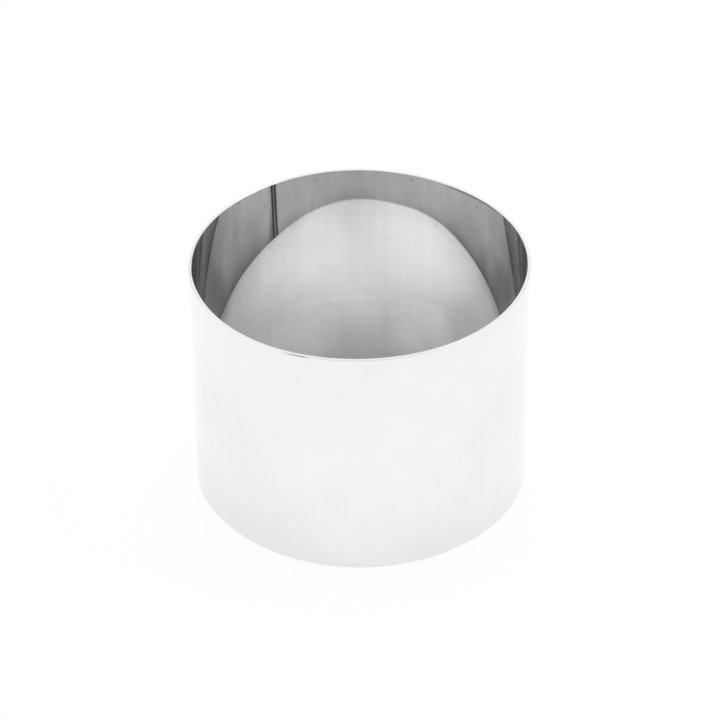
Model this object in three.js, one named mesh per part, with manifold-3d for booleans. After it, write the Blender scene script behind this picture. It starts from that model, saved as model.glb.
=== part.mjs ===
// Pastry ring: a strip of stainless sheet rolled into a round hoop, open at both ends, whose two
// ends are melted together by one straight weld. Millimetres, +Z up, the ring standing on z = 0
// with its axis on Z and its weld on +X.
import * as THREE from "three";
import { mergeVertices } from "three/addons/utils/BufferGeometryUtils.js";
import Module from "manifold-3d";

// Driving dimensions
const OUTER_DIAMETER = 80;
const RING_HEIGHT = 60;
const SHEET_THICKNESS = 0.8;
// Radius that deburring leaves on the corners of both rims.
const RIM_ROUNDING = 0.2;
// Zone between the strip's two ends that melted and set again, measured across the seam.
const WELD_WIDTH = 3.8;
// Raised middle of the weld, which stands into the ring past the inner face of the wall.
const BEAD_WIDTH = 1.3;
const BEAD_RISE = 0.25;
// Shallow groove along each side of the bead, sunk into the wall.
const GROOVE_DEPTH = 0.1;

// Fineness of the round faces: facets round the hoop, steps in half a rounded corner, and steps
// across the weld from one point of its inner face to the next.
const HOOP_FACETS = 96;
const CORNER_STEPS = 2;
const BEAD_STEPS = 3;

// Finish
const POLISHED_STEEL = { color: 0xe4e4e5, roughness: 0.1, metalness: 1 };
const WELD_STEEL = { color: 0x737272, roughness: 0.45, metalness: 1 };

const outerRadius = OUTER_DIAMETER / 2;
const innerRadius = outerRadius - SHEET_THICKNESS;
// A third of the sheet's edge stays flat at least, so that the ring has a rim to stand on.
const cornerRadius = Math.min(RIM_ROUNDING, SHEET_THICKNESS / 3);

const wasm = await Module();
wasm.setup();

// Closed geometry to a solid that can be cut.
function solidFrom(geometry) {
  geometry.deleteAttribute("normal");
  geometry.deleteAttribute("uv");
  const merged = mergeVertices(geometry);
  return new wasm.Manifold(new wasm.Mesh({
    numProp: 3,
    vertProperties: merged.getAttribute("position").array,
    triVerts: merged.getIndex().array,
  }));
}

function geometryFrom(solid) {
  const { vertProperties, triVerts } = solid.getMesh();
  const geometry = new THREE.BufferGeometry();
  geometry.setAttribute("position", new THREE.BufferAttribute(vertProperties, 3));
  geometry.setIndex(new THREE.BufferAttribute(triVerts, 1));
  geometry.computeVertexNormals();
  return geometry;
}

// Full hoop from the given inside radius to the ring's outer face, with both rims rounded.
function hoop(insideRadius) {
  const quarter = Math.PI / 2;
  const inside = insideRadius + cornerRadius;
  const outside = outerRadius - cornerRadius;
  const foot = cornerRadius;
  const top = RING_HEIGHT - cornerRadius;
  const section = new THREE.Path();
  section.absarc(outside, foot, cornerRadius, -quarter, 0);
  section.absarc(outside, top, cornerRadius, 0, quarter);
  section.absarc(inside, top, cornerRadius, quarter, 2 * quarter);
  section.absarc(inside, foot, cornerRadius, 2 * quarter, 3 * quarter);
  section.closePath();
  const turned = new THREE.LatheGeometry(section.getPoints(CORNER_STEPS), HOOP_FACETS);
  turned.rotateX(quarter);
  return solidFrom(turned);
}

// Everything between the strip's two ends: a slab across the wall on +X, as wide as the weld.
function seamGap() {
  const slab = new THREE.BoxGeometry(OUTER_DIAMETER, WELD_WIDTH, 2 * RING_HEIGHT);
  slab.translate(outerRadius, 0, RING_HEIGHT / 2);
  return solidFrom(slab);
}

// Bar along the seam whose inner face carries the bead and its two grooves. Its outer side
// reaches past the wall.
function seamBar() {
  const half = WELD_WIDTH / 2;
  const wallAtEnd = Math.sqrt(innerRadius ** 2 - half ** 2);
  const groove = innerRadius + GROOVE_DEPTH;
  const grooveMiddle = (WELD_WIDTH + BEAD_WIDTH) / 4;
  const outside = outerRadius + SHEET_THICKNESS;
  const section = new THREE.Shape();
  section.moveTo(outside, -half);
  section.lineTo(outside, half);
  section.lineTo(wallAtEnd, half);
  section.splineThru([
    new THREE.Vector2(groove, grooveMiddle),
    new THREE.Vector2(innerRadius - BEAD_RISE, 0),
    new THREE.Vector2(groove, -grooveMiddle),
    new THREE.Vector2(wallAtEnd, -half),
  ]);
  section.closePath();
  const bar = new THREE.ExtrudeGeometry(section, {
    depth: RING_HEIGHT,
    bevelEnabled: false,
    curveSegments: BEAD_STEPS,
  });
  return solidFrom(bar);
}

// The rolled strip: the hoop with the melted zone left open.
function bandGeometry() {
  return geometryFrom(hoop(innerRadius).subtract(seamGap()));
}

// The weld: it fills the zone from one end of the strip to the other, raised inside and dressed
// flush with the outer face and the rims.
function weldGeometry() {
  const clearOfBead = innerRadius - BEAD_RISE - cornerRadius;
  return geometryFrom(seamBar().intersect(hoop(clearOfBead)));
}

function piece(name, geometry, finish) {
  const mesh = new THREE.Mesh(geometry, new THREE.MeshStandardMaterial(finish));
  mesh.name = name;
  return mesh;
}

const pastryRing = new THREE.Group();
pastryRing.name = "pastry_ring";
pastryRing.add(piece("rolled_band", bandGeometry(), POLISHED_STEEL));
pastryRing.add(piece("weld_seam", weldGeometry(), WELD_STEEL));

export default pastryRing;
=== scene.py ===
"""A polished steel pastry ring standing on a white studio floor.

The ring is a strip of stainless sheet rolled into a hoop and closed by one upright weld. Both pieces
are swept round the same wall section, so they meet without a step. Metres, +Z up, the weld on +X.
"""
import math
from collections import namedtuple

import bmesh
import bpy
from bpy.props import FloatProperty, FloatVectorProperty, IntProperty, PointerProperty
from bpy.types import NodeSocket, Operator, Panel, PropertyGroup
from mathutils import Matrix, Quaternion, Vector


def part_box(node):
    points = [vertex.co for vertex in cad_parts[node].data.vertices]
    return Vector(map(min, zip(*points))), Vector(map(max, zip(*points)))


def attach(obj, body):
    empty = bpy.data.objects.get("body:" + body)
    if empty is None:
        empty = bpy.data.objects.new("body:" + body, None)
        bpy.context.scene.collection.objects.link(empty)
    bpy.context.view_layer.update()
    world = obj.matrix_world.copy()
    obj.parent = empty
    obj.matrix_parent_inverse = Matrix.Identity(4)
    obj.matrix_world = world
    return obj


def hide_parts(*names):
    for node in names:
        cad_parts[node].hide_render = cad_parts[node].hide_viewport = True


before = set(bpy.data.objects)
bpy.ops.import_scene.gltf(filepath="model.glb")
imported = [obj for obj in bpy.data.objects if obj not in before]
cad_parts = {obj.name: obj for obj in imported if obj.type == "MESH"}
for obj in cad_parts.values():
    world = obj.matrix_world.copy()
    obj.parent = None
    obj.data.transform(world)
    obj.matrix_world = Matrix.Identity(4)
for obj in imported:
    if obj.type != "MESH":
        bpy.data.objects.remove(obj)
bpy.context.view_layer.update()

bl_info = {
    "name": "Pastry Ring",
    "version": (1, 0, 0),
    "blender": (4, 5, 0),
    "location": "View3D > Sidebar > Pastry Ring",
    "description": "Builds a rolled and welded steel pastry ring and its white studio",
    "category": "Add Mesh",
}

MILLIMETRE = 0.001
FULL_TURN = 2 * math.pi

# Corners of the solids that the two pieces stand for
band_low, band_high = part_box("rolled_band")
weld_low, weld_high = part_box("weld_seam")

# Fineness of the meshes: steps up a wall, up the knock on the rim, up one ripple and across the weld
WALL_STEPS = 24
NICK_STEPS = 6
RIPPLE_STEPS = 6
WELD_STEPS = 36
# Points closer than this become one, and edges that turn by more than this stay sharp
MERGE_DISTANCE = 0.0001 * MILLIMETRE
SHARP_ANGLE = math.radians(40)

# How far up and down the knock on the rim spreads
NICK_REACH = 0.22 * MILLIMETRE
# Length at both rims over which the weld's bead is ground down to the wall
GROUND_LENGTH = 3 * MILLIMETRE

# Noise runs from 0 to 1, but seldom leaves this range
NOISE_LOW = 0.3
NOISE_HIGH = 0.7

WHITE = (1.0, 1.0, 1.0, 1.0)
# Light turns many times between the mirrored walls
MAX_BOUNCES = 24
GLOSSY_BOUNCES = 16

# Faces round the wall section, in the order of the material slots
OUTSIDE, RIM, INSIDE = range(3)

# One row of points along the wall: its depth behind the outer face, its height, and the face above it
Row = namedtuple("Row", "depth height face")

# Rolling leaves the hoop a little out of round, by other amounts at the top than at the foot. Each
# wave has so many lobes round the ring, and a size and a direction of its first lobe at either rim.
Wave = namedtuple("Wave", "lobes top_size top_turn foot_size foot_turn")
ROLLING_WAVES = (
    Wave(2, 0.26 * MILLIMETRE, math.radians(-28), 0.21 * MILLIMETRE, math.radians(49)),
    Wave(3, 0.18 * MILLIMETRE, math.radians(-13), 0.21 * MILLIMETRE, math.radians(55)),
    Wave(4, 0.05 * MILLIMETRE, math.radians(9), 0.09 * MILLIMETRE, math.radians(12)),
    Wave(5, 0.07 * MILLIMETRE, math.radians(16), 0.12 * MILLIMETRE, math.radians(-30)),
)

# Soft oval patch of painted light and shade on the inner face: its middle, its half sizes, and how
# much darker it is painted, below 0 where it is painted brighter
Patch = namedtuple("Patch", "turn height half_width half_height darkness")
PAINTED_LIGHT_AND_SHADE_PATCHES = (
    Patch(math.radians(15), 47 * MILLIMETRE, 10 * MILLIMETRE, 21 * MILLIMETRE, 0.45),
    Patch(math.radians(26), 37 * MILLIMETRE, 7 * MILLIMETRE, 12 * MILLIMETRE, 0.36),
    Patch(math.radians(29), 54 * MILLIMETRE, 5 * MILLIMETRE, 15 * MILLIMETRE, 0.18),
    Patch(math.radians(33), 41 * MILLIMETRE, 6 * MILLIMETRE, 10 * MILLIMETRE, 0.2),
    Patch(math.radians(40), 52 * MILLIMETRE, 10 * MILLIMETRE, 14 * MILLIMETRE, 0.09),
    Patch(math.radians(47), 21 * MILLIMETRE, 7 * MILLIMETRE, 10 * MILLIMETRE, 0.11),
    Patch(math.radians(64), 11 * MILLIMETRE, 11 * MILLIMETRE, 14 * MILLIMETRE, -0.2),
    Patch(math.radians(110), 12 * MILLIMETRE, 11 * MILLIMETRE, 14 * MILLIMETRE, -0.11),
    Patch(math.radians(113), 51 * MILLIMETRE, 5 * MILLIMETRE, 8 * MILLIMETRE, 0.06),
    Patch(math.radians(121), 41 * MILLIMETRE, 7 * MILLIMETRE, 12 * MILLIMETRE, -0.1),
    Patch(math.radians(146), 47 * MILLIMETRE, 8.5 * MILLIMETRE, 20 * MILLIMETRE, 0.25),
    Patch(math.radians(151), 36 * MILLIMETRE, 7 * MILLIMETRE, 13 * MILLIMETRE, 0.33),
    Patch(math.radians(162), 49 * MILLIMETRE, 10 * MILLIMETRE, 21 * MILLIMETRE, 0.42),
)

# Pits of one kind: the grid that they lie on, the share of its cells that has one, the largest radius
# and how dark they are
Pits = namedtuple("Pits", "spacing share radius darkness")
SCATTERED_PITS = Pits(spacing=7.5 * MILLIMETRE, share=0.6, radius=0.3 * MILLIMETRE, darkness=0.32)
CLUSTERED_PITS = Pits(spacing=0.9 * MILLIMETRE, share=0.6, radius=0.24 * MILLIMETRE, darkness=0.28)
RIM_PITS = Pits(spacing=3.8 * MILLIMETRE, share=0.5, radius=0.4 * MILLIMETRE, darkness=0.42)

# Softbox over the ring: where it hangs, its sizes in metres, and the setting that holds its light
Softbox = namedtuple("Softbox", "name azimuth elevation width height setting")
SOFTBOXES = (
    Softbox("softbox_top", math.radians(164), math.radians(77), 0.28, 0.52, "top_light"),
    Softbox("softbox_left", math.radians(256), math.radians(55), 0.32, 0.2, "left_light"),
    Softbox("softbox_right", math.radians(95), math.radians(55), 0.28, 0.24, "right_light"),
)
SOFTBOX_DISTANCE = 1.0


class RingBandSettings(PropertyGroup):
    """Sizes and finishes of the rolled strip."""

    outer_radius: FloatProperty(
        name="Outer radius",
        description="From the ring's axis to its outer face",
        default=weld_high.x,
        unit="LENGTH",
    )
    height: FloatProperty(
        name="Height",
        description="From the foot to the upper rim",
        default=band_high.z - band_low.z,
        unit="LENGTH",
    )
    thickness: FloatProperty(
        name="Sheet thickness",
        description="Wall from its outer face to its inner face",
        default=0.8 * MILLIMETRE,
        unit="LENGTH",
    )
    outer_bevel: FloatProperty(
        name="Outer bevel",
        description="How much deburring takes off the outer corners of both rims",
        default=0.2 * MILLIMETRE,
        unit="LENGTH",
    )
    inner_bevel: FloatProperty(
        name="Inner bevel",
        description="How much deburring takes off the inner corners of both rims",
        default=0.06 * MILLIMETRE,
        unit="LENGTH",
    )
    steps_round: IntProperty(
        name="Steps round",
        description="Faces from one end of the strip to the other",
        default=720,
        min=96,
    )
    filed_turn: FloatProperty(
        name="Filed direction",
        description="Where round the ring the inner edge of the upper rim is filed widest",
        default=math.radians(148),
        subtype="ANGLE",
    )
    filed_spread: FloatProperty(
        name="Filed spread",
        description="How far round the ring the wider filing runs out to either side",
        default=math.radians(62),
        subtype="ANGLE",
    )
    filed_width: FloatProperty(
        name="Filed width",
        description="How much wider the inner bevel of the upper rim is there",
        default=0.22 * MILLIMETRE,
        unit="LENGTH",
    )
    nick_turn: FloatProperty(
        name="Nick direction",
        description="Where round the ring the upper rim was knocked",
        default=math.radians(-111.6),
        subtype="ANGLE",
    )
    nick_tail: FloatProperty(
        name="Nick tail",
        description="How far the knock runs out along the rim on its long side",
        default=8.6 * MILLIMETRE,
        unit="LENGTH",
    )
    nick_head: FloatProperty(
        name="Nick head",
        description="How far the knock runs out along the rim on its short side",
        default=3.6 * MILLIMETRE,
        unit="LENGTH",
    )
    nick_depth: FloatProperty(
        name="Nick depth",
        description="How far the knock presses the outer face in",
        default=0.12 * MILLIMETRE,
        unit="LENGTH",
    )
    outside_colour: FloatVectorProperty(
        name="Outside colour",
        description="Mirror polish of the outer face",
        default=(0.885, 0.885, 0.888),
        subtype="COLOR",
    )
    inside_colour: FloatVectorProperty(
        name="Inside colour",
        description="Satin polish of the inner face half way up",
        default=(0.795, 0.795, 0.795),
        subtype="COLOR",
    )
    rim_colour: FloatVectorProperty(
        name="Rim colour",
        description="Bright ground metal of both rims",
        default=(0.94, 0.94, 0.94),
        subtype="COLOR",
    )


class RingWeldSettings(PropertyGroup):
    """Sizes and finishes of the weld."""

    width: FloatProperty(
        name="Width",
        description="Melted zone from one end of the strip to the other",
        default=weld_high.y - weld_low.y,
        unit="LENGTH",
    )
    depth: FloatProperty(
        name="Depth",
        description="From the outer face to the top of the bead inside",
        default=weld_high.x - weld_low.x,
        unit="LENGTH",
    )
    bead_width: FloatProperty(
        name="Bead width",
        description="Raised middle of the weld",
        default=1.3 * MILLIMETRE,
        unit="LENGTH",
    )
    groove_depth: FloatProperty(
        name="Groove depth",
        description="How far the grooves beside the bead sink into the wall",
        default=0.1 * MILLIMETRE,
        unit="LENGTH",
    )
    ripple_spacing: FloatProperty(
        name="Ripple spacing",
        description="From one ripple of the set metal to the next",
        default=0.8 * MILLIMETRE,
        unit="LENGTH",
    )
    ripple_height: FloatProperty(
        name="Ripple height",
        description="How far the ripples stand up on the bead",
        default=0.02 * MILLIMETRE,
        unit="LENGTH",
    )
    bead_colour: FloatVectorProperty(
        name="Bead colour",
        description="Set metal on the crown of the bead",
        default=(0.27, 0.268, 0.265),
        subtype="COLOR",
    )
    # The grooves are real geometry, and their near black colour is a painted reflection of dark
    # surroundings in their curved faces
    toe_colour: FloatVectorProperty(
        name="Toe colour",
        description="Dull oxide in the grooves beside the bead",
        default=(0.075, 0.074, 0.072),
        subtype="COLOR",
    )


class RingStageSettings(PropertyGroup):
    """Camera, floor and light."""

    camera_distance: FloatProperty(
        name="Camera distance",
        description="From the camera to the point that it aims at",
        default=0.8064,
        unit="LENGTH",
    )
    camera_elevation: FloatProperty(
        name="Camera elevation",
        description="Height of the camera above the horizon",
        default=math.radians(36.11),
        subtype="ANGLE",
    )
    camera_azimuth: FloatProperty(
        name="Camera azimuth",
        description="Turn of the camera round the ring",
        default=math.radians(-1.67),
        subtype="ANGLE",
    )
    camera_roll: FloatProperty(
        name="Camera roll",
        description="Turn of the camera about its own line of sight",
        default=math.radians(-1.02),
        subtype="ANGLE",
    )
    focal_length: FloatProperty(
        name="Focal length",
        description="Focal length of the camera's lens in millimetres",
        default=168.3,
        unit="CAMERA",
    )
    sensor_width: FloatProperty(
        name="Sensor width",
        description="Width of the camera's sensor in millimetres",
        default=36.0,
        unit="CAMERA",
    )
    aim: FloatVectorProperty(
        name="Aim",
        description="Point that the camera looks at",
        default=(-0.00015, 0.0, 0.03128),
        subtype="TRANSLATION",
        unit="LENGTH",
    )
    floor_colour: FloatVectorProperty(
        name="Floor colour",
        description="White paper that the ring stands on",
        default=(0.95, 0.95, 0.95),
        subtype="COLOR",
    )
    top_light: FloatProperty(
        name="Top light",
        description="Radiance of the softbox above the ring, where 1 is white",
        default=14.3,
    )
    left_light: FloatProperty(
        name="Left light",
        description="Radiance of the softbox on the left, where 1 is white",
        default=14.6,
    )
    right_light: FloatProperty(
        name="Right light",
        description="Radiance of the softbox on the right, where 1 is white",
        default=17.2,
    )


class NodeKit:
    """Adds nodes to one node tree and links them."""

    def __init__(self, tree):
        self.tree = tree

    def add(self, kind, **settings):
        """New node of a kind, with its settings."""
        node = self.tree.nodes.new(kind)
        for name, value in settings.items():
            setattr(node, name, value)
        return node

    def feed(self, socket, value):
        """Link a socket to another one, or set its own value."""
        if isinstance(value, NodeSocket):
            self.tree.links.new(value, socket)
        else:
            socket.default_value = value

    def math(self, operation, *values):
        """Result of a sum, a comparison or the like."""
        node = self.add("ShaderNodeMath", operation=operation)
        for socket, value in zip(node.inputs, values):
            self.feed(socket, value)
        return node.outputs[0]

    def product(self, *factors):
        """All factors multiplied."""
        result = factors[0]
        for factor in factors[1:]:
            result = self.math("MULTIPLY", result, factor)
        return result

    def rest(self, *factors):
        """What is left of 1 when a product is taken from it."""
        return self.math("SUBTRACT", 1.0, self.product(*factors))

    def squares(self, first, second):
        """Sum of two squares."""
        return self.math("ADD", self.product(first, first), self.product(second, second))

    def fade(self, distance, reach):
        """Fall from 1 at no distance to about a third at the reach, and on toward 0."""
        return self.math("EXPONENT", self.math("DIVIDE", distance, -reach))

    def ramp(self, value, start, end, low, high, interpolation="SMOOTHSTEP"):
        """Carry a value from start..end to low..high, and hold it at either end."""
        node = self.add("ShaderNodeMapRange", interpolation_type=interpolation)
        self.feed(node.inputs["Value"], value)
        self.feed(node.inputs["From Min"], start)
        self.feed(node.inputs["From Max"], end)
        self.feed(node.inputs["To Min"], low)
        self.feed(node.inputs["To Max"], high)
        return node.outputs["Result"]

    def place(self):
        """Position on the object, in metres."""
        return self.add("ShaderNodeTexCoord").outputs["Object"]

    def split(self, vector):
        """Parts of a vector along X, Y and Z."""
        node = self.add("ShaderNodeSeparateXYZ")
        self.feed(node.inputs[0], vector)
        return node.outputs

    def join(self, x, y, z):
        """Vector from its parts."""
        node = self.add("ShaderNodeCombineXYZ")
        for socket, value in zip(node.inputs, (x, y, z)):
            self.feed(socket, value)
        return node.outputs[0]

    def along(self, vector, direction):
        """How far a vector reaches in a direction."""
        node = self.add("ShaderNodeVectorMath", operation="DOT_PRODUCT")
        self.feed(node.inputs[0], vector)
        self.feed(node.inputs[1], tuple(direction))
        return node.outputs["Value"]

    def noise(self, vector, grain, detail):
        """Noise with grains of a size along X, Y and Z."""
        measured = self.add("ShaderNodeVectorMath", operation="DIVIDE")
        self.feed(measured.inputs[0], vector)
        self.feed(measured.inputs[1], grain)
        node = self.add("ShaderNodeTexNoise")
        self.feed(node.inputs["Vector"], measured.outputs[0])
        self.feed(node.inputs["Scale"], 1.0)
        self.feed(node.inputs["Detail"], detail)
        return node.outputs["Fac"]

    def vary(self, noise, amount):
        """Factor that swings about 1 with a noise, by an amount either way."""
        return self.ramp(noise, NOISE_LOW, NOISE_HIGH, 1.0 - amount, 1.0 + amount)

    def tint(self, colour, factor):
        """Colour times a factor that varies over the surface."""
        node = self.add("ShaderNodeVectorMath", operation="SCALE")
        self.feed(node.inputs[0], tuple(colour))
        self.feed(node.inputs["Scale"], factor)
        return node.outputs[0]

    def surface(self, output, factor, first, second):
        """Mix two shaders by a factor and lead them to the tree's output."""
        mix = self.add("ShaderNodeMixShader")
        self.feed(mix.inputs[0], factor)
        self.feed(mix.inputs[1], first.outputs[0])
        self.feed(mix.inputs[2], second.outputs[0])
        self.feed(self.add(output).inputs["Surface"], mix.outputs[0])


def outward(turn):
    """Level direction away from the axis at a turn round the ring."""
    return (math.cos(turn), math.sin(turn), 0.0)


def sideways(turn):
    """Level direction along the wall at a turn round the ring."""
    return (-math.sin(turn), math.cos(turn), 0.0)


def even(size):
    """Grain that is as large along X as along Y and Z."""
    return (size, size, size)


def inner_radius(band):
    """From the ring's axis to its inner face."""
    return band.outer_radius - band.thickness


def nick_height(band):
    """Outer edge of the upper rim, where the knock is deepest."""
    return band.height - band.outer_bevel


def new_metal(name):
    """Metal material: the material, a kit for its nodes, and its shader's sockets."""
    material = bpy.data.materials.new(name)
    material.use_nodes = True
    shader = material.node_tree.nodes["Principled BSDF"].inputs
    shader["Metallic"].default_value = 1.0
    return material, NodeKit(material.node_tree), shader


def upright_lines(kit, place, width, length):
    """Noise of streaks up the wall, so wide and so long."""
    return kit.noise(place, (width, width, length), detail=2.0)


def near_half(kit, place, turn):
    """1 on the half of the ring that a turn points to, 0 on the other half."""
    return kit.math("GREATER_THAN", kit.along(place, outward(turn)), 0.0)


def darker_toward_top(kit, place, band):
    """Factor for the inner face, a little darker toward the upper rim."""
    darkening = 0.15
    reach = 26 * MILLIMETRE
    z = kit.split(place)["Z"]
    return kit.ramp(z, band.height - reach, band.height, 1.0, 1.0 - darkening)


def painted_foot_shade(kit, place, band):
    """Factor for the inner face with painted shade: darker toward the foot and most of all at the
    back, and a little darker over the lower part of the wall.
    """
    front_painted_shade = 0.18
    back_painted_shade = 0.25
    back_turn = math.radians(105)
    reach = 60 * MILLIMETRE
    lower_painted_shade = 0.1
    lower_start = 16 * MILLIMETRE
    lower_end = 36 * MILLIMETRE
    radius = inner_radius(band)
    z = kit.split(place)["Z"]
    toward_back = kit.along(place, outward(back_turn))
    darkening = kit.ramp(toward_back, -radius, radius, front_painted_shade, back_painted_shade, "LINEAR")
    lower = kit.ramp(z, lower_start, lower_end, 1.0 - lower_painted_shade, 1.0)
    return kit.math("SUBTRACT", lower, kit.product(darkening, kit.fade(z, reach)))


def painted_fringe_shade(kit, place, band):
    """Factor for painted shade in a fringe above the foot, strong at the sides and gone at the very
    back.
    """
    front_darkness = 0.12
    side_darkness = 0.45
    reach = 5.5 * MILLIMETRE
    radius = inner_radius(band)
    side_start = -0.1 * radius
    side_end = 0.5 * radius
    back_start = 0.86 * radius
    back_end = 0.99 * radius
    _, y, z = kit.split(place)
    darkness = kit.ramp(y, side_start, side_end, front_darkness, side_darkness)
    not_back = kit.ramp(y, back_start, back_end, 1.0, 0.0)
    return kit.rest(darkness, not_back, kit.fade(z, reach))


def painted_foot_shadow_line(kit, place):
    """Factor for a painted contact shadow: a broken dark line along the inner edge of the foot."""
    reach = 1.2 * MILLIMETRE
    break_size = 4 * MILLIMETRE
    faint_below = 0.35
    full_above = 0.65
    faint = 0.08
    full = 0.32
    breaks = kit.noise(place, even(break_size), detail=3.0)
    darkness = kit.ramp(breaks, faint_below, full_above, faint, full)
    return kit.rest(darkness, kit.fade(kit.split(place)["Z"], reach))


def rim_strip(kit, place, band):
    """Factor for a short dark strip close under the upper rim, at the right of the back."""
    turn = math.radians(43)
    width = 0.9 * MILLIMETRE
    softness = 0.8 * width
    darkness = 0.55
    radius = inner_radius(band)
    strip_end = 0.955 * radius
    strip_core = 0.985 * radius
    bottom = band.height - band.inner_bevel - width
    here = kit.ramp(kit.along(place, outward(turn)), strip_end, strip_core, 0.0, darkness)
    under_rim = kit.ramp(kit.split(place)["Z"], bottom, bottom + softness, 0.0, 1.0)
    return kit.rest(here, under_rim)


def darker_beside_weld(kit, x, beyond, reach, darkness):
    """Factor for the metal on one side of the weld; beyond is the distance from the weld's edge."""
    on_weld_side = kit.math("GREATER_THAN", x, 0.0)
    past_edge = kit.math("GREATER_THAN", beyond, 0.0)
    return kit.rest(on_weld_side, past_edge, kit.ramp(beyond, 0.0, reach, darkness, 0.0))


def weld_heat_and_painted_shade(kit, place, weld):
    """Factor for the metal that the weld's heat dulled, far on its +Y side and little on the other,
    with painted shade that makes the far side darker and wider toward the foot.
    """
    foot_zone = 3 * MILLIMETRE
    wall_zone = 12 * MILLIMETRE
    foot_reach = 5 * MILLIMETRE
    wall_reach = 3 * MILLIMETRE
    foot_darkness = 0.6
    wall_darkness = 0.28
    little_reach = 1 * MILLIMETRE
    little_darkness = 0.5
    half_width = weld.width / 2
    x, y, z = kit.split(place)
    far_reach = kit.ramp(z, foot_zone, wall_zone, foot_reach, wall_reach)
    far_darkness = kit.ramp(z, foot_zone, wall_zone, foot_darkness, wall_darkness)
    far_side = kit.math("SUBTRACT", y, half_width)
    little_side = kit.math("SUBTRACT", -half_width, y)
    far = darker_beside_weld(kit, x, far_side, far_reach, far_darkness)
    little = darker_beside_weld(kit, x, little_side, little_reach, little_darkness)
    return kit.product(far, little)


def pits(kit, unrolled, kind, *where):
    """Factor for pits of one kind on the unrolled wall, smaller or gone where a factor is below 1."""
    cells = kit.add("ShaderNodeTexVoronoi", voronoi_dimensions="2D")
    kit.feed(cells.inputs["Vector"], unrolled)
    kit.feed(cells.inputs["Scale"], 1 / kind.spacing)
    chance = kit.split(cells.outputs["Color"])["X"]
    largest = kind.radius / kind.spacing
    inner_softness = 0.5 * largest
    outer_softness = 0.1 * largest
    reach = kit.product(kit.ramp(chance, 1 - kind.share, 1.0, 0.0, largest, "LINEAR"), *where)
    gap = kit.math("SUBTRACT", cells.outputs["Distance"], reach)
    return kit.ramp(gap, -inner_softness, outer_softness, 1 - kind.darkness, 1.0)


def pitted(kit, place, band):
    """Factor for pits scattered over the inner face, in clusters, and larger below the upper rim."""
    cluster_width = 3 * MILLIMETRE
    cluster_length = 9 * MILLIMETRE
    bare_below = 0.56
    full_above = 0.64
    rim_zone = 9 * MILLIMETRE
    rim_zone_end = 13 * MILLIMETRE
    x, y, z = kit.split(place)
    # The wall unrolls from the side opposite the weld, so that the cells break off at the weld
    turn = kit.math("ARCTAN2", kit.math("MULTIPLY", y, -1.0), kit.math("MULTIPLY", x, -1.0))
    unrolled = kit.join(kit.product(turn, inner_radius(band)), z, 0.0)
    cluster = kit.noise(place, (cluster_width, cluster_width, cluster_length), detail=1.0)
    in_cluster = kit.ramp(cluster, bare_below, full_above, 0.0, 1.0)
    near_rim = kit.ramp(z, band.height - rim_zone_end, band.height - rim_zone, 0.0, 1.0)
    return kit.product(
        pits(kit, unrolled, SCATTERED_PITS),
        pits(kit, unrolled, CLUSTERED_PITS, in_cluster),
        pits(kit, unrolled, RIM_PITS, near_rim),
    )


def painted_shadow_edge_lines(kit, place, cloud):
    """Factor for faint painted light and dark level lines part way up the wall, which stand in for
    mirrored shadow edges on the floor and come and go with its clouds.
    """
    middle = 20 * MILLIMETRE
    spread = 6 * MILLIMETRE
    line_length = 90 * MILLIMETRE
    line_width = 2 * MILLIMETRE
    faint_below = 0.4
    full_above = 0.6
    faint = 0.012
    full = 0.055
    from_middle = kit.math("ABSOLUTE", kit.math("SUBTRACT", kit.split(place)["Z"], middle))
    strength = kit.ramp(cloud, faint_below, full_above, faint, full)
    strength_here = kit.ramp(from_middle, 0.0, spread, strength, 0.0)
    lines = kit.noise(place, (line_length, line_length, line_width), detail=2.0)
    swing = kit.ramp(lines, NOISE_LOW, NOISE_HIGH, -1.0, 1.0)
    return kit.math("MULTIPLY_ADD", swing, strength_here, 1.0)


def painted_light_and_shade_patch(kit, place, patch):
    """Factor for an oval patch of painted shade, painted light where its darkness is below 0, that
    fades out from its middle.
    """
    across = kit.math("DIVIDE", kit.along(place, sideways(patch.turn)), patch.half_width)
    above = kit.math("SUBTRACT", kit.split(place)["Z"], patch.height)
    upright = kit.math("DIVIDE", above, patch.half_height)
    darkness = kit.ramp(kit.squares(across, upright), 0.0, 1.0, patch.darkness, 0.0)
    return kit.rest(near_half(kit, place, patch.turn), darkness)


def satin_inside(band, weld):
    """Satin polish with upright lines, pits and smudges, a little darker toward the upper rim and
    beside the weld, with painted shade toward the foot and painted light and shade in patches and
    level lines.
    """
    material, kit, shader = new_metal("satin_inside")
    cloud_size = 13 * MILLIMETRE
    smoothest = 0.028
    roughest = 0.04
    glancing_tint = (0.94, 0.94, 0.94, 1.0)
    place = kit.place()
    cloud = kit.noise(place, even(cloud_size), detail=3.0)
    fine = upright_lines(kit, place, width=0.55 * MILLIMETRE, length=45 * MILLIMETRE)
    broad = upright_lines(kit, place, width=3 * MILLIMETRE, length=70 * MILLIMETRE)
    # Real lines, pits, smudges and heat tint, multiplied with painted shade at the foot and painted
    # light and shade in patches and level lines
    wear_and_painted_shade = kit.product(
        darker_toward_top(kit, place, band),
        painted_foot_shade(kit, place, band),
        painted_fringe_shade(kit, place, band),
        painted_foot_shadow_line(kit, place),
        rim_strip(kit, place, band),
        weld_heat_and_painted_shade(kit, place, weld),
        kit.vary(fine, amount=0.007),
        kit.vary(broad, amount=0.014),
        kit.vary(cloud, amount=0.035),
        painted_shadow_edge_lines(kit, place, cloud),
        pitted(kit, place, band),
        *(painted_light_and_shade_patch(kit, place, patch) for patch in PAINTED_LIGHT_AND_SHADE_PATCHES),
    )
    kit.feed(shader["Base Color"], kit.tint(band.inside_colour, wear_and_painted_shade))
    kit.feed(shader["Roughness"], kit.ramp(broad, NOISE_LOW, NOISE_HIGH, smoothest, roughest))
    shader["Specular Tint"].default_value = glancing_tint
    return material


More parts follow.
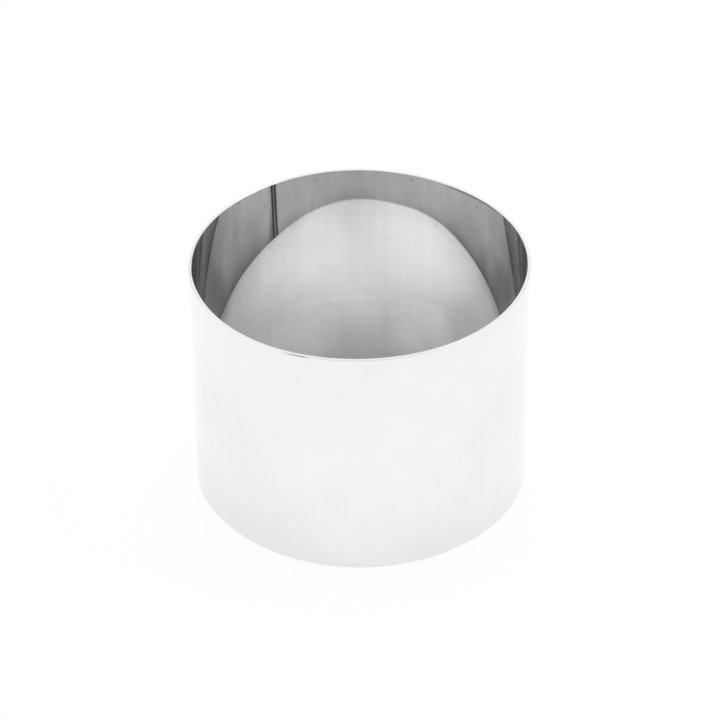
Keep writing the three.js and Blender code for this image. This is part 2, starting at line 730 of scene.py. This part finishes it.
def darker_round_nick(kit, place, band):
    """Factor that darkens the metal round the knock on the rim."""
    darkness = 0.72
    along = kit.along(place, sideways(band.nick_turn))
    ahead = kit.math("DIVIDE", along, band.nick_head)
    behind = kit.math("DIVIDE", along, -band.nick_tail)
    lengthwise = kit.math("MAXIMUM", ahead, behind)
    above = kit.math("SUBTRACT", kit.split(place)["Z"], nick_height(band))
    upright = kit.math("DIVIDE", above, NICK_REACH)
    distance = kit.math("SQRT", kit.squares(lengthwise, upright))
    fade = kit.ramp(distance, 0.0, 1.0, 1.0, 0.0)
    return kit.rest(near_half(kit, place, band.nick_turn), fade, fade, darkness)


def polished_outside(name, band, line_width):
    """Mirror polish with the faintest mottling and upright lines of a width."""
    material, kit, shader = new_metal(name)
    mottle_size = 9 * MILLIMETRE
    line_length = 60 * MILLIMETRE
    line_contrast = 0.005
    smoothest = 0.045
    roughest = 0.06
    place = kit.place()
    mottling = kit.vary(kit.noise(place, even(mottle_size), detail=3.0), amount=0.008)
    lines = kit.vary(upright_lines(kit, place, line_width, line_length), line_contrast)
    finish = kit.product(mottling, lines, darker_round_nick(kit, place, band))
    roughness = kit.ramp(lines, 1 - line_contrast, 1 + line_contrast, smoothest, roughest)
    kit.feed(shader["Base Color"], kit.tint(band.outside_colour, finish))
    kit.feed(shader["Roughness"], roughness)
    return material


def bright_rim(name, band):
    """Ground metal with fine lines along the rim."""
    material, kit, shader = new_metal(name)
    line_width = 0.07 * MILLIMETRE
    line_turn = 5 * MILLIMETRE / band.outer_radius
    darkest = 0.96
    brightest = 1.03
    smoothest = 0.1
    roughest = 0.18
    place = kit.place()
    x, y, z = kit.split(place)
    radius = kit.math("SQRT", kit.squares(x, y))
    round_rim = kit.join(radius, z, kit.math("ARCTAN2", y, x))
    lines = kit.noise(round_rim, (line_width, line_width, line_turn), detail=2.0)
    shade = kit.ramp(lines, NOISE_LOW, NOISE_HIGH, darkest, brightest)
    finish = kit.product(shade, darker_round_nick(kit, place, band))
    kit.feed(shader["Base Color"], kit.tint(band.rim_colour, finish))
    kit.feed(shader["Roughness"], kit.ramp(lines, NOISE_LOW, NOISE_HIGH, smoothest, roughest))
    return material


def set_metal(weld):
    """Set weld metal: toes painted near black as a painted dark reflection in the grooves, a lighter
    crown and a grainy skin.
    """
    material, kit, shader = new_metal("weld_inside")
    grain_size = 0.25 * MILLIMETRE
    crown_edge = 0.6 * weld.bead_width / 2
    toe_edge = 1.1 * weld.bead_width / 2
    crown_roughness = 0.3
    toe_roughness = 0.5
    place = kit.place()
    across = kit.math("ABSOLUTE", kit.split(place)["Y"])
    crown = kit.ramp(across, crown_edge, toe_edge, 1.0, 0.0)
    grain = kit.vary(kit.noise(place, even(grain_size), detail=4.0), amount=0.25)
    mix = kit.add("ShaderNodeMix", data_type="RGBA")
    kit.feed(mix.inputs["Factor"], crown)
    kit.feed(mix.inputs["A"], kit.tint(weld.toe_colour, grain))
    kit.feed(mix.inputs["B"], kit.tint(weld.bead_colour, grain))
    kit.feed(shader["Base Color"], mix.outputs["Result"])
    kit.feed(shader["Roughness"], kit.ramp(crown, 0.0, 1.0, toe_roughness, crown_roughness))
    return material


def even_steps(start, end, count):
    """Heights from start to end, both included."""
    return [start + (end - start) * k / count for k in range(count + 1)]


def face_rows(depth, heights, face):
    """Rows along one face of the wall, the last of which starts the bevel at its end."""
    return [Row(depth, height, face) for height in heights[:-1]] + [Row(depth, heights[-1], RIM)]


def wall_section(band, outer_heights, inner_heights):
    """Rows round the wall: up the outer face, over the rim, down the inner face and under the foot."""
    inner_edge = band.thickness - band.inner_bevel
    rows = face_rows(0.0, outer_heights, OUTSIDE)
    rows += [Row(band.outer_bevel, band.height, RIM), Row(inner_edge, band.height, RIM)]
    rows += face_rows(band.thickness, inner_heights[::-1], INSIDE)
    rows += [Row(inner_edge, 0.0, RIM), Row(band.outer_bevel, 0.0, RIM)]
    return rows


def out_of_round(band, angle, height):
    """How far the wall stands off a true circle."""
    up = height / band.height
    shift = 0.0
    for wave in ROLLING_WAVES:
        shift += up * wave.top_size * math.cos(wave.lobes * (angle - wave.top_turn))
        shift += (1 - up) * wave.foot_size * math.cos(wave.lobes * (angle - wave.foot_turn))
    return shift


def wall_point(band, depth, angle, height):
    """Point of the wall at a depth behind its outer face."""
    radius = band.outer_radius - depth + out_of_round(band, angle, height)
    return (radius * math.cos(angle), radius * math.sin(angle), height)


def crest(phase):
    """Height of a wave: 1 on its crest, 0 in its trough half a turn on."""
    return (1 + math.cos(phase)) / 2


def swell(distance, reach):
    """Smooth bump: 1 at no distance, 0 from the reach on."""
    if abs(distance) >= reach:
        return 0.0
    return crest(math.pi * distance / reach)


def filed_off(band, angle):
    """How much wider the inner bevel of the upper rim is filed at an angle."""
    away = math.remainder(angle - band.filed_turn, FULL_TURN)
    return band.filed_width * swell(away, band.filed_spread)


def pressed_in(band, angle, height):
    """How far the knock presses the outer face in at an angle and a height."""
    along = math.remainder(angle - band.nick_turn, FULL_TURN) * band.outer_radius
    run_out = band.nick_tail if along < 0 else band.nick_head
    lengthwise = swell(along, run_out) ** 2
    return band.nick_depth * lengthwise * swell(height - nick_height(band), NICK_REACH)


def worn_row(band, row, angle):
    """Depth and height of a row at an angle, with the filed inner edge and the knock outside."""
    depth, height, face = row
    if row.depth <= band.outer_bevel:
        depth += pressed_in(band, angle, row.height)
    elif row.height > band.height - 2 * band.inner_bevel:
        if face == RIM:
            depth -= filed_off(band, angle)
        else:
            height -= filed_off(band, angle)
    return depth, height


def weld_lift(band, weld, y, height):
    """How far the weld stands into the ring past the wall, less in the grooves beside the bead."""
    side = abs(y)
    full = 1 - swell(min(height, band.height - height), GROUND_LENGTH)
    groove_middle = (weld.width + weld.bead_width) / 4
    if side >= groove_middle:
        groove = swell(side - groove_middle, weld.width / 2 - groove_middle)
        return -full * weld.groove_depth * groove
    rise = weld.depth - band.thickness - weld.ripple_height
    # The ripples bend back beside the middle of the bead
    ripple = crest(FULL_TURN * (height - side) / weld.ripple_spacing)
    crown = rise + weld.ripple_height * ripple + weld.groove_depth
    return full * (crown * swell(side, groove_middle) - weld.groove_depth)


def sweep(scene, name, loops, rows, materials):
    """Closed piece through loops of points, one for each row of the wall section, with flat ends."""
    mesh = bpy.data.meshes.new(name)
    shape = bmesh.new()
    rings = [[shape.verts.new(point) for point in loop] for loop in loops]
    count = len(rows)
    for first, second in zip(rings, rings[1:]):
        for k, row in enumerate(rows):
            after = (k + 1) % count
            face = shape.faces.new((first[k], second[k], second[after], first[after]))
            face.material_index = row.face
            face.smooth = True
    for end in (rings[0][::-1], rings[-1]):
        face = shape.faces.new(end)
        face.material_index = INSIDE
    bmesh.ops.remove_doubles(shape, verts=shape.verts, dist=MERGE_DISTANCE)
    bmesh.ops.recalc_face_normals(shape, faces=shape.faces)
    shape.to_mesh(mesh)
    shape.free()
    mesh.set_sharp_from_angle(angle=SHARP_ANGLE)
    for material in materials:
        mesh.materials.append(material)
    piece = bpy.data.objects.new(name, mesh)
    scene.collection.objects.link(piece)
    return piece


class PASTRYRING_OT_band(Operator):
    """Roll the strip into a hoop"""

    bl_idname = "pastryring.band"
    bl_label = "Band"

    def execute(self, context):
        band = context.scene.ring_band
        weld = context.scene.ring_weld
        outer = even_steps(band.outer_bevel, band.height - band.outer_bevel, WALL_STEPS)
        # Finer rows where the knock presses the outer face in
        outer[-1:] = even_steps(outer[-1] - NICK_REACH, outer[-1], NICK_STEPS)
        inner = even_steps(band.inner_bevel, band.height - band.inner_bevel, WALL_STEPS)
        rows = wall_section(band, outer, inner)
        loops = []
        for i in range(band.steps_round + 1):
            loop = []
            for row in rows:
                # Half the weld as an angle at this depth, so that the ends of the strip are flat
                end = math.asin(weld.width / 2 / (band.outer_radius - row.depth))
                angle = end + (FULL_TURN - 2 * end) * i / band.steps_round
                depth, height = worn_row(band, row, angle)
                loop.append(wall_point(band, depth, angle, height))
            loops.append(loop)
        finishes = (
            polished_outside("polished_outside", band, line_width=4 * MILLIMETRE),
            bright_rim("bright_rim", band),
            satin_inside(band, weld),
        )
        piece = sweep(context.scene, "ring_band", loops, rows, finishes)
        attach(piece, "root")
        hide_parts("rolled_band")
        return {"FINISHED"}


class PASTRYRING_OT_weld(Operator):
    """Lay the weld between the ends of the strip"""

    bl_idname = "pastryring.weld"
    bl_label = "Weld"

    def execute(self, context):
        band = context.scene.ring_band
        weld = context.scene.ring_weld
        inner_steps = round(RIPPLE_STEPS * band.height / weld.ripple_spacing)
        outer = even_steps(band.outer_bevel, band.height - band.outer_bevel, WALL_STEPS)
        inner = even_steps(band.inner_bevel, band.height - band.inner_bevel, inner_steps)
        rows = wall_section(band, outer, inner)
        loops = []
        for y in even_steps(-weld.width / 2, weld.width / 2, WELD_STEPS):
            loop = []
            for row in rows:
                # The outer face and its bevels stay flush, and the inner face takes the whole lift
                inward = max(0.0, row.depth - band.outer_bevel) / (band.thickness - band.outer_bevel)
                depth = row.depth + inward * weld_lift(band, weld, y, row.height)
                angle = math.asin(y / (band.outer_radius - depth))
                loop.append(wall_point(band, depth, angle, row.height))
            loops.append(loop)
        finishes = (
            polished_outside("weld_outside", band, line_width=0.4 * MILLIMETRE),
            bright_rim("weld_rim", band),
            set_metal(weld),
        )
        piece = sweep(context.scene, "weld_bead", loops, rows, finishes)
        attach(piece, "root")
        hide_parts("weld_seam")
        return {"FINISHED"}


def aim_from(azimuth, elevation):
    """Direction toward a place in the studio; azimuth 0 is the front, and it grows toward +X."""
    level = math.cos(elevation)
    return Vector((math.sin(azimuth) * level, -math.cos(azimuth) * level, math.sin(elevation)))


def shows_background(kit):
    """1 for what the camera sees, straight or mirrored in metal or through glass, and 0 for light."""
    path = kit.add("ShaderNodeLightPath").outputs
    mirrored = kit.math("MAXIMUM", path["Is Glossy Ray"], path["Is Transmission Ray"])
    seen = kit.math("MAXIMUM", path["Is Camera Ray"], mirrored)
    return kit.product(seen, kit.math("LESS_THAN", path["Diffuse Depth"], 1.0))


def white_paper(band, stage):
    """White floor lit by the softboxes with a painted white glow mixed in: strong outside the ring,
    where it hides most of the ring's shadow, weaker inside it, and weakest by the inner wall, where it
    paints a contact shadow.
    """
    material = bpy.data.materials.new("white_paper")
    material.use_nodes = True
    material.node_tree.nodes.clear()
    kit = NodeKit(material.node_tree)
    # Share of painted white glow in what is seen of the floor, where the rest is its paper as the
    # lamps light it
    share_inside = 0.42
    share_at_wall = 0.34
    share_mirrored = 0.86
    share_straight = 0.97
    wall_shade_reach = 2 * MILLIMETRE
    fibre_size = 0.6 * MILLIMETRE
    wall = inner_radius(band)
    place = kit.place()
    x, y, _ = kit.split(place)
    distance = kit.math("SQRT", kit.squares(x, y))
    straight = kit.add("ShaderNodeLightPath").outputs["Is Camera Ray"]
    share_outside = kit.ramp(straight, 0.0, 1.0, share_mirrored, share_straight)
    # Less painted glow within a few millimetres of the inner wall paints a contact shadow there
    painted_wall_shade_share = kit.ramp(distance, wall - wall_shade_reach, wall, share_inside, share_at_wall)
    share = kit.ramp(distance, wall, band.outer_radius, painted_wall_shade_share, share_outside)
    fibre = kit.vary(kit.noise(place, even(fibre_size), detail=3.0), amount=0.01)
    paper = kit.add("ShaderNodeBsdfDiffuse")
    kit.feed(paper.inputs["Color"], kit.tint(stage.floor_colour, fibre))
    white = kit.add("ShaderNodeEmission")
    seen_share = kit.product(shows_background(kit), share)
    kit.surface("ShaderNodeOutputMaterial", seen_share, paper, white)
    return material


def lay_floor(scene, band, stage):
    """Plain sheet under the ring."""
    half = 3.0
    mesh = bpy.data.meshes.new("floor")
    corners = [(-half, -half, 0.0), (half, -half, 0.0), (half, half, 0.0), (-half, half, 0.0)]
    mesh.from_pydata(corners, [], [(0, 1, 2, 3)])
    mesh.materials.append(white_paper(band, stage))
    floor = bpy.data.objects.new("floor", mesh)
    scene.collection.objects.link(floor)


def paint_room(scene):
    """White room, a little darker low down and behind the camera, that gives hardly any light."""
    # Heights, and nearness to the front, of a direction of length 1
    low = 0.1
    high = 0.5
    front_edge = 0.75
    front_core = 0.95
    front_elevation = math.radians(50)
    # Brightness there, where 1 is white
    low_white = 0.8
    high_white = 0.92
    front_white = 0.88
    fill_light = 0.04
    world = bpy.data.worlds.new("studio")
    scene.world = world
    world.use_nodes = True
    world.node_tree.nodes.clear()
    kit = NodeKit(world.node_tree)
    toward = kit.add("ShaderNodeTexCoord").outputs["Generated"]
    walls = kit.ramp(kit.split(toward)["Z"], low, high, low_white, high_white)
    toward_front = kit.along(toward, aim_from(0.0, front_elevation))
    front = kit.ramp(toward_front, front_edge, front_core, 1.0, front_white)
    straight = kit.add("ShaderNodeLightPath").outputs["Is Camera Ray"]
    fill = kit.add("ShaderNodeBackground")
    fill.inputs["Strength"].default_value = fill_light
    seen = kit.add("ShaderNodeBackground")
    seen.inputs["Color"].default_value = WHITE
    kit.feed(seen.inputs["Strength"], kit.math("MAXIMUM", kit.product(walls, front), straight))
    kit.surface("ShaderNodeOutputWorld", shows_background(kit), fill, seen)


def hang_softbox(scene, softbox, radiance):
    """Softbox that faces the ring."""
    lamp = bpy.data.lights.new(softbox.name, "AREA")
    lamp.shape = "RECTANGLE"
    lamp.size = softbox.width
    lamp.size_y = softbox.height
    # Watts that give a flat lamp this radiance
    lamp.energy = radiance * math.pi * softbox.width * softbox.height
    hung = bpy.data.objects.new(softbox.name, lamp)
    direction = aim_from(softbox.azimuth, softbox.elevation)
    hung.location = direction * SOFTBOX_DISTANCE
    hung.rotation_euler = direction.to_track_quat("Z", "Y").to_euler()
    scene.collection.objects.link(hung)


def place_camera(scene, stage):
    """Camera at the viewing angle of a product photo."""
    lens = bpy.data.cameras.new("camera")
    lens.lens = stage.focal_length
    lens.sensor_width = stage.sensor_width
    camera = bpy.data.objects.new("camera", lens)
    direction = aim_from(stage.camera_azimuth, stage.camera_elevation)
    camera.location = Vector(stage.aim) + direction * stage.camera_distance
    camera.rotation_mode = "QUATERNION"
    roll = Quaternion((0.0, 0.0, 1.0), stage.camera_roll)
    camera.rotation_quaternion = direction.to_track_quat("Z", "Y") @ roll
    scene.collection.objects.link(camera)
    scene.camera = camera


class PASTRYRING_OT_stage(Operator):
    """Set up the floor, the light and the camera"""

    bl_idname = "pastryring.stage"
    bl_label = "Stage"

    def execute(self, context):
        scene = context.scene
        stage = scene.ring_stage
        lay_floor(scene, scene.ring_band, stage)
        paint_room(scene)
        for softbox in SOFTBOXES:
            hang_softbox(scene, softbox, getattr(stage, softbox.setting))
        place_camera(scene, stage)
        scene.view_settings.view_transform = "Standard"
        scene.cycles.max_bounces = MAX_BOUNCES
        scene.cycles.glossy_bounces = GLOSSY_BOUNCES
        return {"FINISHED"}


class PASTRYRING_PT_panel(Panel):
    """Builders and settings of the pastry ring"""

    bl_label = "Pastry Ring"
    bl_space_type = "VIEW_3D"
    bl_region_type = "UI"
    bl_category = "Pastry Ring"

    def draw(self, context):
        for operator, group in BUILDERS:
            box = self.layout.box()
            box.operator(operator.bl_idname)
            settings = getattr(context.scene, group)
            for name in settings.__annotations__:
                box.prop(settings, name)


BUILDERS = (
    (PASTRYRING_OT_band, "ring_band"),
    (PASTRYRING_OT_weld, "ring_weld"),
    (PASTRYRING_OT_stage, "ring_stage"),
)
SETTINGS = (RingBandSettings, RingWeldSettings, RingStageSettings)
CLASSES = (*SETTINGS, *(operator for operator, _ in BUILDERS), PASTRYRING_PT_panel)


def register():
    """Make the settings, the builders and the panel known to Blender."""
    for cls in CLASSES:
        bpy.utils.register_class(cls)
    for (_, group), settings in zip(BUILDERS, SETTINGS):
        setattr(bpy.types.Scene, group, PointerProperty(type=settings))


def unregister():
    """Take the settings, the builders and the panel away again."""
    for _, group in BUILDERS:
        delattr(bpy.types.Scene, group)
    for cls in reversed(CLASSES):
        bpy.utils.unregister_class(cls)


def main():
    """Build the ring and its stage."""
    register()
    bpy.ops.pastryring.band()
    bpy.ops.pastryring.weld()
    bpy.ops.pastryring.stage()


if __name__ == "__main__":
    main()
